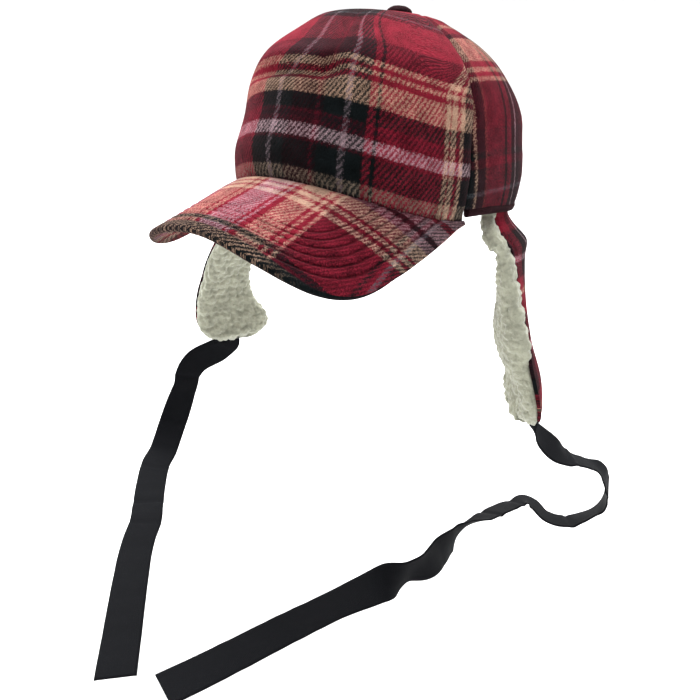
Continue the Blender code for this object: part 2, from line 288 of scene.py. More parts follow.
class CapColours(bpy.types.PropertyGroup):
    """Colours of the yarns, the fleece and the ribbon."""

    red: yarn("Red", "Yarn of the red ground", "6d1725")
    wine: yarn("Wine", "Darker red yarn that fills the red ground", "380a14")
    maroon: yarn("Maroon", "Yarn of the dark bands", "260b12")
    charcoal: yarn("Charcoal", "Yarn of the black-green blocks", "0b1011")
    slate: yarn("Slate", "Yarn of the faint grey lines", "3d4145")
    lilac: yarn("Lilac", "Yarn of the pale grey-pink bands", "957a80")
    straw: yarn("Straw", "Yarn of the cream bands", "9e7e6a")
    cream: yarn("Cream", "Yarn of the palest bands, on the peak", "9f806e")
    rose: yarn("Rose", "Pink yarn beside the cream of the peak", "8a686e")
    plum: yarn("Plum", "Darkest red yarn, at the hem", "17070b")
    mist: yarn("Mist", "Grey yarn of the soft upright lines", "5a4f54")
    moss: yarn("Moss", "Grey-brown yarn of the lowest band of the front", "665a4e")
    coral: yarn("Coral", "Yarn of the thin pink line", "742e2e")
    fleece: yarn("Fleece", "Pile of the flap linings", "9b9c8a")
    ribbon: yarn("Ribbon", "Ribbed ribbon of the ties", "0c0d10")
    lining: yarn("Lining", "Plain cloth inside the crown and under the peak", "1d0e11")


# Shapes shared by the pieces


def along(rows, t):
    """Points at shares t of the smooth curve through equally spaced rows."""
    rows = np.asarray(rows, float)
    t = np.asarray(t, float)
    last = len(rows) - 1
    s = np.clip(t, 0.0, 1.0) * last
    i = np.minimum(s.astype(int), last - 1)
    u = (s - i)[..., None]
    a, b, c, d = (rows[np.clip(i + k, 0, last)] for k in (-1, 0, 1, 2))
    return 0.5 * (2 * b + (c - a) * u + (2 * a - 5 * b + 4 * c - d) * u**2 + (3 * b - a - 3 * c + d) * u**3)


def smooth(k):
    k = np.clip(k, 0.0, 1.0)
    return k * k * (3.0 - 2.0 * k)


def opening_radius(turn):
    half = np.where(np.cos(turn) > 0, HALF_FRONT, HALF_BACK)
    n = OVAL_POWER
    return (np.abs(np.cos(turn) / half) ** n + np.abs(np.sin(turn) / HALF_SIDE) ** n) ** (-1.0 / n)


def peak_height(x, y):
    out = (-y - HALF_FRONT) / PEAK_REACH
    arch = PEAK_BEND - np.sqrt(np.maximum(PEAK_BEND**2 - x * x, 1e-6))
    fall = PEAK_SLOPE * (-y - HALF_FRONT) + arch * (1.0 + PEAK_MORE * np.clip(out, 0.0, 1.2))
    return PEAK_TOP - fall + PEAK_TWIST * x * np.clip(out, -0.3, 1.2)


def edge_height(turn):
    """Height of the opening's edge at an angle from the front."""
    corner = math.radians(PEAK_CORNER)
    r = opening_radius(turn)
    near = peak_height(r * np.sin(turn), -r * np.cos(turn))
    rc = opening_radius(corner)
    start = peak_height(np.sign(turn) * rc * math.sin(corner), -rc * math.cos(corner))
    rest = start + (BACK_DROP - start) * smooth((np.abs(turn) - corner) / (math.pi - corner))
    return np.where(np.abs(turn) < corner, near, rest)


def crown_point(turn, t):
    """A point of the crown's outer face, at an angle from the front and a share t of the section."""
    shares = along(SECTION, t)
    up, front, side, back, pull = (shares[..., k] for k in range(5))
    c, s = np.cos(turn), np.sin(turn)
    share = np.where(c > 0, front, back) * c * c + side * s * s
    share = np.where(c < 0, share * (1.0 - pull * 4 * c * c * s * s), share)
    r = opening_radius(turn) * share
    y = -r * c + CROWN_LEAN * up
    z = edge_height(turn) * (1.0 - up) + CROWN_HEIGHT * up - CROWN_TILT * (y - CROWN_LEAN) * up * up
    return np.stack([r * s, y, z], -1)


def share_at(turn, rise):
    """The share t where the crown is this far above its edge."""
    low, high = np.zeros_like(turn), np.full_like(turn, 0.4)
    target = edge_height(turn) + rise
    for _ in range(20):
        t = 0.5 * (low + high)
        under = crown_point(turn, t)[..., 2] < target
        low, high = np.where(under, t, low), np.where(under, high, t)
    return 0.5 * (low + high)


def chance(cell):
    """A settled random number from -1 to 1 for each whole-number place."""
    h = cell[..., 0] * 73856093 ^ cell[..., 1] * 19349663 ^ cell[..., 2] * 83492791
    h = (h ^ (h >> 13)) * 1274126177
    return ((h ^ (h >> 16)) & 0xFFFF) / 32767.5 - 1.0


def soft_noise(points, size, seed=0):
    """Smooth noise from -1 to 1, the same each run, with features of this size."""
    q = np.asarray(points) / size + seed * 7.31
    cell = np.floor(q).astype(np.int64)
    f = q - cell
    f = f * f * (3.0 - 2.0 * f)
    total = 0.0
    for corner in np.ndindex(2, 2, 2):
        weight = np.prod([f[..., k] if step else 1 - f[..., k] for k, step in enumerate(corner)], axis=0)
        total = total + chance(cell + np.array(corner)) * weight
    return total


def packed_lumps(points, size, seed=0):
    """Rounded lumps of this size, side by side: 1 at the middle of each, about 0 in the creases."""
    q = np.asarray(points) / size + seed * 7.31
    cell = np.floor(q).astype(np.int64)
    nearest = np.full(q.shape[:-1], 9.0)
    for corner in np.ndindex(3, 3, 3):
        place = cell + np.array(corner) - 1
        middle = place + 0.5 + 0.36 * np.stack([chance(place + shift) for shift in (0, 101, 211)], -1)
        nearest = np.minimum(nearest, ((q - middle) ** 2).sum(-1))
    return 1.0 - 1.5 * nearest


def unit(v):
    return v / np.maximum(np.linalg.norm(v, axis=-1, keepdims=True), 1e-12)


def face_normals(points):
    """Normals of a grid of points, columns times rows."""
    return unit(np.cross(np.gradient(points, axis=1), np.gradient(points, axis=0)))


def run_along(points):
    """Length along each line of points, from 0 at its first."""
    steps = np.linalg.norm(np.diff(points, axis=0), axis=-1)
    return np.concatenate([np.zeros_like(steps[:1]), np.cumsum(steps, axis=0)])


def hump(distance, width):
    """A soft hump: 1 at the middle, and falling off over this width."""
    return np.exp(-((distance / width) ** 2))


# Making and finishing a piece


def read_points(mesh):
    flat = np.empty(len(mesh.vertices) * 3)
    mesh.vertices.foreach_get("co", flat)
    return flat.reshape(-1, 3)


def set_points(mesh, points, cloth):
    """Moves a mesh's points, and makes their places on the flat cloth its UV."""
    mesh.vertices.foreach_set("co", points.ravel())
    corner = np.empty(len(mesh.loops), np.int32)
    mesh.loops.foreach_get("vertex_index", corner)
    mesh.uv_layers.active.name = "cloth"
    mesh.uv_layers.active.data.foreach_set("uv", cloth[corner].ravel())


def lay_cloth(name, columns, rows, shape):
    """Adds a grid and puts each of its points where shape(u, v) says, with its place on the flat cloth
    as its UV."""
    bpy.ops.object.select_all(action="DESELECT")
    bpy.ops.mesh.primitive_grid_add(x_subdivisions=columns, y_subdivisions=rows, size=1)
    piece = bpy.context.object
    piece.name = piece.data.name = name
    co = read_points(piece.data)
    xs, i = np.unique(np.round(co[:, 0], 5), return_inverse=True)
    ys, j = np.unique(np.round(co[:, 1], 5), return_inverse=True)
    u, v = np.meshgrid(np.linspace(0, 1, len(xs)), np.linspace(0, 1, len(ys)))
    points, cloth = shape(u, v)
    set_points(piece.data, points[j, i], cloth[j, i])
    piece.data.update()
    return piece


def loft(name, rings, cloth, caps=(0, -1), rows=None):
    """A skin over closed rings of points; cloth, its place on the flat cloth, has one column more."""
    count, width = rings.shape[:2]
    faces, corners = [], []
    for k in range(count - 1):
        for m in range(width):
            n = (m + 1) % width
            faces.append((k * width + m, k * width + n, (k + 1) * width + n, (k + 1) * width + m))
            corners += [(k, m), (k, m + 1), (k + 1, m + 1), (k + 1, m)]
    for cap in caps:
        k = cap % count
        order = range(width - 1, -1, -1) if k == 0 else range(width)
        faces.append(tuple(k * width + m for m in order))
        corners += [(k, m) for m in order]
    mesh = bpy.data.meshes.new(name)
    mesh.from_pydata(rings.reshape(-1, 3).tolist(), [], faces)
    k, m = np.array(corners).T
    for layer, places in (("cloth", cloth), ("rows", rows)):
        if places is not None:
            mesh.uv_layers.new(name=layer).data.foreach_set("uv", places[k, m].ravel())
    piece = bpy.data.objects.new(name, mesh)
    bpy.context.scene.collection.objects.link(piece)
    return piece


def use(piece):
    """Makes this the one selected and active object."""
    bpy.ops.object.select_all(action="DESELECT")
    piece.select_set(True)
    bpy.context.view_layer.objects.active = piece


def thicken(piece, material_step=0):
    """Makes a skin into cloth, laid on its inner side."""
    solid = piece.modifiers.new("Cloth", "SOLIDIFY")
    solid.thickness = bpy.context.scene.cap_sizes.cloth
    solid.offset = -1
    solid.material_offset = material_step
    use(piece)
    bpy.ops.object.modifier_apply(modifier=solid.name)


def in_edit_mode(piece, change):
    """Runs one change on all of a piece's mesh."""
    use(piece)
    bpy.ops.object.mode_set(mode="EDIT")
    bpy.ops.mesh.select_all(action="SELECT")
    change()
    bpy.ops.object.mode_set(mode="OBJECT")


def finish_piece(piece, node, *materials):
    """Gives a piece its materials and smooth shading, rides it on the cap and hides the solid it stands for.
    """
    piece.data.materials.clear()
    for mat in materials:
        piece.data.materials.append(mat)
    use(piece)
    bpy.ops.object.shade_smooth()
    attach(piece, "root")
    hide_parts(node)


# Materials


def add(tree, kind, inputs=(), **settings):
    """Adds one shader node. Inputs go in order, or by place or name in a dictionary, and settings name its
    properties or inputs. A node or socket is linked, None is left alone, and anything else is set."""
    made = tree.nodes.new("ShaderNode" + kind)
    values = dict(inputs if isinstance(inputs, dict) else enumerate(inputs))
    for key, value in settings.items():
        if hasattr(made, key):
            setattr(made, key, value)
        else:
            values[key.replace("_", " ")] = value
    for key, value in values.items():
        if isinstance(value, bpy.types.Node):
            value = next(socket for socket in value.outputs if socket.enabled)
        if isinstance(value, bpy.types.NodeSocket):
            tree.links.new(value, made.inputs[key])
        elif value is not None:
            made.inputs[key].default_value = value
    return made


def material(name, dress, *details, **more):
    """The material of this name, which dress(tree, ...) makes on first use: it gives the colour, the height
    of the surface, the bump's strength and reach, and settings of the shader."""
    if name in bpy.data.materials:
        return bpy.data.materials[name]
    mat = bpy.data.materials.new(name)
    mat.use_nodes = True
    tree = mat.node_tree
    shader = tree.nodes["Principled BSDF"]
    colour, height, strength, reach, settings = dress(tree, *details, **more)
    tree.links.new(colour.outputs[0], shader.inputs["Base Color"])
    bump = add(tree, "Bump", {"Height": height}, Strength=strength, Distance=reach)
    tree.links.new(bump.outputs[0], shader.inputs["Normal"])
    for key, value in settings.items():
        shader.inputs[key].default_value = value
    return mat


def yarn_shade(name):
    """A yarn's colour, held as its square-root-like shade, because crossed fibres filter each other and mix
    darker than paint would."""
    return (*(c ** (1 / SHADE_POWER) for c in getattr(bpy.context.scene.cap_colours, name)), 1.0)


def yarn_bands(tree, value, table):
    """The shade of the yarn at this place, in millimetres, along a table of bands."""
    low, high = table[0][0], table[-1][0] + 30
    ramp = add(tree, "ValToRGB", [add(tree, "MapRange", (value, low, high))])
    ramp.color_ramp.interpolation = "CONSTANT"
    stops = ramp.color_ramp.elements
    for k, (start, name) in enumerate(table):
        where = (start - low) / (high - low)
        stop = stops[k] if k < 2 else stops.new(where)
        stop.position = where
        stop.color = yarn_shade(name)
    return ramp


def flat_cloth(tree):
    """Millimetres on the flat cloth."""
    place = add(tree, "UVMap", uv_map="cloth")
    return add(tree, "VectorMath", {0: place, "Scale": 1000.0}, operation="SCALE")


def edge_rows(tree):
    """On the peak, the way in from its edge and the way along it from the wearer's right, in metres."""
    row = add(tree, "SeparateXYZ", [add(tree, "UVMap", uv_map="rows")])
    return row.outputs["X"], row.outputs["Y"]


def turned_edge(tree, colour, up, across):
    inward, along_edge = edge_rows(tree)
    slashes = add(tree, "Math", (up, 1.6, across), operation="MULTIPLY_ADD")
    turn = add(tree, "Math", (slashes, 2 * math.pi / 4.6), operation="MULTIPLY")
    wave = add(tree, "Math", [turn], operation="SINE")
    pale = add(tree, "MapRange", (wave, 0.45, 1.0, 0.0, 0.85))
    reach = add(tree, "MapRange", (along_edge, 0.225, 0.252, 1.0, 0.0))
    slashed = add(tree, "Math", (pale, reach), operation="MULTIPLY")
    yarns = {6: yarn_shade("charcoal"), 7: yarn_shade("straw")}
    band = add(tree, "Mix", {0: slashed, **yarns}, data_type="RGBA")
    # It narrows from the wearer's right tip to the middle of the peak
    taper = add(tree, "MapRange", (along_edge, 0.222, 0.266, 0.0074, 0.0006))
    inside = add(tree, "Math", (taper, inward), operation="SUBTRACT")
    edge = add(tree, "MapRange", (inside, -0.0004, 0.0006))
    bound = add(tree, "Mix", {0: edge, 6: colour, 7: band}, data_type="RGBA")
    # The grey line, 12.8 mm in from the edge, which fades before the middle
    offset = add(tree, "Math", (inward, 0.0128), operation="SUBTRACT")
    apart = add(tree, "Math", [offset], operation="ABSOLUTE")
    line = add(tree, "MapRange", (apart, 0.0013, 0.0024, 0.8, 0.0))
    fade = add(tree, "MapRange", (along_edge, 0.225, 0.245, 1.0, 0.0))
    grey = add(tree, "Math", (line, fade), operation="MULTIPLY")
    return add(tree, "Mix", {0: grey, 6: bound, 7: band}, data_type="RGBA")


def stitch_rows(tree, blotch):
    """How deep the thread lies sunk in the nap: 1 in the middle of a row of stitching, 0 between rows."""
    sizes = bpy.context.scene.cap_sizes
    inward, along_edge = edge_rows(tree)
    wander = add(tree, "Math", (blotch, 0.0012, inward), operation="MULTIPLY_ADD")
    phase = add(tree, "Math", (wander, 0.0086), operation="SUBTRACT")
    wrap = add(tree, "Math", (phase, sizes.row_pitch / 2), operation="PINGPONG")
    sunk = add(tree, "MapRange", (wrap, 0.0, 0.0009, 1.0, 0.0), interpolation_type="SMOOTHSTEP")
    last = (sizes.stitch_rows - 0.5) * sizes.row_pitch
    inside = add(tree, "Math", (phase, last), operation="LESS_THAN")
    start = add(tree, "Math", (phase, -0.5 * sizes.row_pitch), operation="GREATER_THAN")
    zone = add(tree, "Math", (inside, start), operation="MULTIPLY")
    plain = add(tree, "MapRange", (along_edge, 0.20, 0.25, 0.3))
    shown = add(tree, "Math", (zone, plain), operation="MULTIPLY")
    return add(tree, "Math", (sunk, shown), operation="MULTIPLY")


def wool(tree, warp, weft, lean=1.0, ruffle=2.4, least=0.1, stitched=False, pitch=2.1):
    """Brushed wool twill: coarse dyed yarns in a check, raised to a soft nap that blurs the bands, with
    the weave's slanting ribs showing through where light yarns cross dark ones. Lean is the way the ribs
    slant, ruffle how much the nap blurs them, least the share of the covered yarn that still shows, and
    pitch the distance between ribs in millimetres."""

    def noise(scale, detail):
        return add(tree, "TexNoise", {"Vector": flat}, Scale=scale, Detail=detail, noise_dimensions="2D")

    flat = flat_cloth(tree)
    # Pushed about by loose fibres, up to 2 mm each way
    stray = noise(1.3, 3.0).outputs["Color"]
    push = add(tree, "VectorMath", (stray, (0.5, 0.5, 0.5)), operation="SUBTRACT")
    pushed = add(tree, "VectorMath", (push, (4.0, 4.0, 0.0), flat), operation="MULTIPLY_ADD")
    split = add(tree, "SeparateXYZ", [pushed])
    across, up = split.outputs["X"], split.outputs["Y"]
    # Twill ribs: one slanting rib every 2 to 3 mm, drawn coarser than the yarn so that it shows
    slant = add(tree, "Math", (up, -0.68 * lean, across), operation="MULTIPLY_ADD")
    rib = add(tree, "Math", (slant, 2 * math.pi / pitch), operation="MULTIPLY")
    wave = add(tree, "Math", [rib], operation="SINE")
    ruffled = add(tree, "Math", (noise(0.8, 3.0), ruffle, wave), operation="MULTIPLY_ADD")
    face = add(
        tree, "MapRange", (ruffled, ruffle / 2 - 1.1, ruffle / 2 + 1.1, least, 1 - least),
        interpolation_type="SMOOTHSTEP",
    )
    bands = {0: face, 6: yarn_bands(tree, across, warp), 7: yarn_bands(tree, up, weft)}
    colour = add(tree, "Mix", bands, data_type="RGBA")
    if stitched:
        colour = turned_edge(tree, colour, up, across)
    dyed = add(tree, "Gamma", (colour, SHADE_POWER))
    # The nap's own light and shade, at two sizes
    fibre, blotch = noise(1.5, 4.0), noise(0.12, 3.0)
    tone = add(tree, "Math", (blotch, 0.5, fibre), operation="MULTIPLY_ADD")
    tint = add(tree, "MapRange", (tone, 0.45, 1.05, 0.25, 1.75))
    height = add(tree, "Math", (fibre, 1.4, face), operation="MULTIPLY_ADD")
    if stitched:
        # The rows of stitching sink the bump and darken the colour: partly the dark thread, partly painted
        # shade in the sunk grooves
        seam = stitch_rows(tree, blotch)
        dark = add(tree, "Math", (seam, -0.62, 1.0), operation="MULTIPLY_ADD")
        tint = add(tree, "Math", (tint, dark), operation="MULTIPLY")
        height = add(tree, "Math", (seam, -1.6, height), operation="MULTIPLY_ADD")
    toned = add(tree, "VectorMath", {0: dyed, "Scale": tint}, operation="SCALE")
    sheen = {"Sheen Weight": 0.06, "Sheen Roughness": 0.35, "Sheen Tint": (1.0, 0.40, 0.46, 1.0)}
    return toned, height, 0.6, 0.0005, {"Roughness": 0.92, "Specular IOR Level": 0.03, **sheen}


def hem_wool():
    return material("check wool hem", wool, HEM_WARP, HEM_WEFT)


def curled_fleece(tree):
    """Sherpa fleece: short off-white fibres in small curls, with painted shade in the hollows and a painted
    highlight at the tips.
    """
    place = add(tree, "TexCoord").outputs["Object"]
    curls = add(tree, "TexNoise", {"Vector": place}, Scale=330.0, Detail=2.0, Roughness=0.6)
    fibres = add(tree, "TexNoise", {"Vector": place}, Scale=1100.0, Detail=3.0)
    clumps = add(tree, "TexNoise", {"Vector": place}, Scale=120.0, Detail=4.0)
    # The curls' noise sets both the bump and the colour: painted shade in its hollows and a painted
    # highlight on its crests; the larger clumps are a random tone
    deep = add(tree, "Math", (curls, clumps), operation="ADD")
    shade = add(tree, "MapRange", (deep, 0.75, 1.25, 0.74, 1.12))
    base = bpy.context.scene.cap_colours.fleece
    tint = add(tree, "VectorMath", {0: base, "Scale": shade}, operation="SCALE")
    height = add(tree, "Math", (fibres, 0.45, curls), operation="MULTIPLY_ADD")
    sheen = {"Sheen Weight": 0.5, "Sheen Roughness": 0.5, "Sheen Tint": (1.0, 1.0, 0.96, 1.0)}
    return tint, height, 0.7, 0.0016, {"Roughness": 0.95, "Specular IOR Level": 0.15, **sheen}


def ribbed_ribbon(tree):
    """Grosgrain ribbon: close crosswise ribs of a filament yarn, which gives it a dull satin gleam."""
    flat = flat_cloth(tree)
    split = add(tree, "SeparateXYZ", [flat])
    # A rib every 0.9 mm of length
    rib = add(tree, "Math", (split.outputs["Y"], 2 * math.pi / 0.9), operation="MULTIPLY")
    wave = add(tree, "Math", [rib], operation="SINE")
    grain = add(tree, "TexNoise", {"Vector": flat}, Scale=1.3, Detail=4.0, noise_dimensions="2D")
    # The ribs also lift and lower the colour a little, as a painted highlight and shade on each rib, over a
    # random grain of tone; the same tone makes the bump
    tone = add(tree, "Math", (wave, 0.12, grain), operation="MULTIPLY_ADD")
    shade = add(tree, "MapRange", (tone, 0.2, 0.8, 0.75, 1.3))
    base = bpy.context.scene.cap_colours.ribbon
    tint = add(tree, "VectorMath", {0: base, "Scale": shade}, operation="SCALE")
    return tint, tone, 0.5, 0.0003, {"Roughness": 0.75, "Specular IOR Level": 0.06}


def plain_lining(tree):
    """Dark cotton lining: a flat, close weave with no gloss."""
    place = add(tree, "TexCoord").outputs["Object"]
    weave = add(tree, "TexNoise", {"Vector": place}, Scale=700.0, Detail=3.0)
    shade = add(tree, "MapRange", (weave, 0.3, 0.7, 0.75, 1.25))
    base = bpy.context.scene.cap_colours.lining
    tint = add(tree, "VectorMath", {0: base, "Scale": shade}, operation="SCALE")
    return tint, weave, 0.4, 0.0003, {"Roughness": 0.9, "Specular IOR Level": 0.2}


# The pieces


def front_drift(u, v):
    """Where the check lies on the front panel, in millimetres. The panel is cut straight, so its outer
    lines run into the seams, and the fold over the brow pushes the lines above it up and aside."""
    fold = smooth((v - 44) / 14) * (1 - smooth((u - 16) / 18))
    aside = smooth((v - 56) / 12) * (1 - smooth((u - 12) / 20)) * smooth((u + 70) / 40)
    top = smooth((v - 78) / 34) * (1 - smooth((np.abs(u - 15) - 40) / 30))
    out = smooth((v - 64) / 30) * smooth((np.abs(u) - 72) / 30) * np.sign(u)
    return u - 15 * aside + 11 * top - 26 * out, v + 7 * fold


def side_drift(u, v):
    """On the side panels the check leans to the back going down, and its rows rise to the back."""
    return u + 0.13 * (np.minimum(v, 80) - 60), v - 0.08 * u


def back_drift(u, v):
    return u, v


def front_relief(turn, climb):
    """How far the front panel stands out, at an angle from the front and a length up from its edge: a fold
    over the brow that dies away to the sides, and a low bump over the end of the peak."""
    place = turn * FRONT_FLAT_RADIUS
    strength = np.exp(-(((place + 0.006) / 0.036) ** 4))
    line = FOLD_HEIGHT + 0.004 * smooth((place - 0.012) / 0.02)
    fold = FOLD_BULGE * hump(climb - line - 0.009, 0.006) - FOLD_DENT * hump(climb - line, 0.0034)
    from_seam = smooth((turn + math.radians(FRONT_SEAM)) / 0.2)
    return strength * fold + SIDE_BUMP * hump(turn + 0.98, 0.36) * hump(climb, 0.026) * from_seam


def crown_panel(name, start, end, columns, rows, rise, skirt, drift, side=1):
    """One panel of the crown between two seams, given as angles from the front in degrees. It starts at
    this rise above the crown's edge, and its skirt hangs below its lowest rows."""
    sizes = bpy.context.scene.cap_sizes
    low, high = math.radians(start), math.radians(end)
    mid = 0.5 * (low + high)

    def shape(u, v):
        turn = low + (high - low) * u
        first = share_at(turn, rise)
        t = first + (PANEL_END - first) * v
        points = crown_point(turn, t)
        normal = face_normals(points)
        radius = np.hypot(points[..., 0], points[..., 1] - CROWN_LEAN)
        to_seam = np.minimum(u, 1 - u) * (high - low) * radius
        climb = run_along(points)
        depth = sizes.seam_depth * hump(to_seam, 0.0022)
        if skirt:
            depth = np.maximum(depth, 0.0012 * hump(climb, 0.0016))
        # Soft unevenness of stitched cloth, with small puckers along the seams
        wave = 0.00045 * soft_noise(points, 0.036, 1) + 0.0002 * soft_noise(points, 0.013, 2)
        if skirt:
            wave += front_relief(turn, climb)
        pucker = 0.00035 * hump(to_seam, 0.009) * soft_noise(points, 0.0045, 3)
        fade = np.clip(radius / 0.02, 0.0, 1.0)
        points = points + normal * ((wave + pucker) * fade - depth)[..., None]
        points[..., 2] -= skirt * np.maximum(0.0, 1.0 - v * rows / 3.0)
        # Flat cloth: the check keeps its place across, so its lines draw together towards the top
        wide = FRONT_FLAT_RADIUS if skirt else opening_radius(np.array(mid)) * 1.022
        place = drift(side * (turn - mid) * wide * 1000, climb * 1000)
        return points, np.stack(place, -1) / 1000

    piece = lay_cloth(name, columns, rows, shape)
    thicken(piece, 1)
    return piece


class CAP_OT_crown(bpy.types.Operator):
    """Make the five crown panels"""

    bl_idname = "cap.crown"
    bl_label = "Crown"

    def execute(self, context):
        lining = material("plain lining", plain_lining)
        front = material("check wool front", wool, FRONT_WARP, FRONT_WEFT, ruffle=1.6, pitch=3.0)
        side = material("check wool side", wool, SIDE_WARP, SIDE_WEFT)
        back = material("check wool back", wool, BACK_WARP, SIDE_WEFT)
        ends = (-FRONT_SEAM, FRONT_SEAM)
        piece = crown_panel("front_panel_cloth", *ends, 170, 110, 0.0, FRONT_SKIRT, front_drift)
        finish_piece(piece, "crown_front", front, lining)
        # The side and back panels start behind the hem, 1.2 mm under its top
        rise = HEM_HEIGHT - 0.0012
        for sign, word in ((1, "left"), (-1, "right")):
            ends = sorted((sign * FRONT_SEAM, sign * BACK_SEAM))
            piece = crown_panel(f"side_panel_{word}_cloth", *ends, 70, 84, rise, 0.0, side_drift, sign)
            finish_piece(piece, f"crown_side_{word}", side, lining)
            ends = sorted((sign * BACK_SEAM, sign * 180.0))
            piece = crown_panel(f"back_panel_{word}_cloth", *ends, 66, 84, rise, 0.0, back_drift, sign)
            finish_piece(piece, f"crown_back_{word}", back, lining)
        return {"FINISHED"}


class CAP_OT_hem(bpy.types.Operator):
    """Make the turned hem round the sides and the back"""

    bl_idname = "cap.hem"
    bl_label = "Hem"

    def execute(self, context):
        steps = 260
        first = math.radians(PEAK_CORNER + 0.2)
        turn = np.linspace(first, 2 * math.pi - first, steps)
        signed = np.where(turn <= math.pi, turn, turn - 2 * math.pi)
        foot = crown_point(signed, share_at(signed, 0.0))
        base = edge_height(signed)
        r = np.hypot(foot[:, 0], foot[:, 1])
        # Section: outer face up, a fold at the top, down inside, and a rounded foot
        section = (
            (0.0004, 0.0012), (0.0009, 0.0024), (0.0011, 0.0038), (0.0007, 0.0050), (-0.0002, 0.0058),
            (-0.0012, 0.0062), (-0.0030, 0.0062), (-0.0034, 0.0056), (-0.0035, 0.0030), (-0.0033, 0.0012),
            (-0.0024, 0.0002), (-0.0012, -0.0001), (-0.0003, 0.0003),
        )
        rings = np.zeros((steps, len(section), 3))
        flat = np.zeros((steps, len(section) + 1, 2))
        run = run_along(foot[:, :2])
        for k, (out, up) in enumerate(section):
            place = np.stack([r * np.sin(signed), -r * np.cos(signed), base], -1)
            puff = 0.00025 * soft_noise(place, 0.007, 5 + k // 4)
            reach = r + out + puff
            rings[:, k] = np.stack([reach * np.sin(signed), -reach * np.cos(signed), base + up], -1)
            flat[:, k] = np.stack([run - 0.16, np.full(steps, up - 0.0065)], -1)
        flat[:, -1] = flat[:, 0]
        piece = loft("hem_cloth", rings, flat)
        in_edit_mode(piece, bpy.ops.mesh.normals_make_consistent)
        finish_piece(piece, "rim_band", hem_wool())
        return {"FINISHED"}


def peak_edge(steps=600):
    """The peak's outer edge from the wearer's right to left, and the share of its run at each point."""
    corner = math.radians(PEAK_CORNER)
    y0 = -opening_radius(np.array(corner)) * math.cos(corner)
    a = np.linspace(-math.pi / 2, math.pi / 2, steps + 1)
    side = np.where(a >= 0, 1, -1)
    half, bend, front = (
        np.where(a >= 0, table[1], table[-1]) for table in (PEAK_HALF, PEAK_SIDE_POWER, PEAK_FRONT_POWER)
    )
    x = side * half * np.abs(np.sin(a)) ** bend
    y = y0 - (HALF_FRONT + PEAK_REACH + y0) * np.maximum(np.cos(a), 0.0) ** front
    points = np.stack([x, y], -1)
    run = run_along(points)
    return points, run / run[-1]


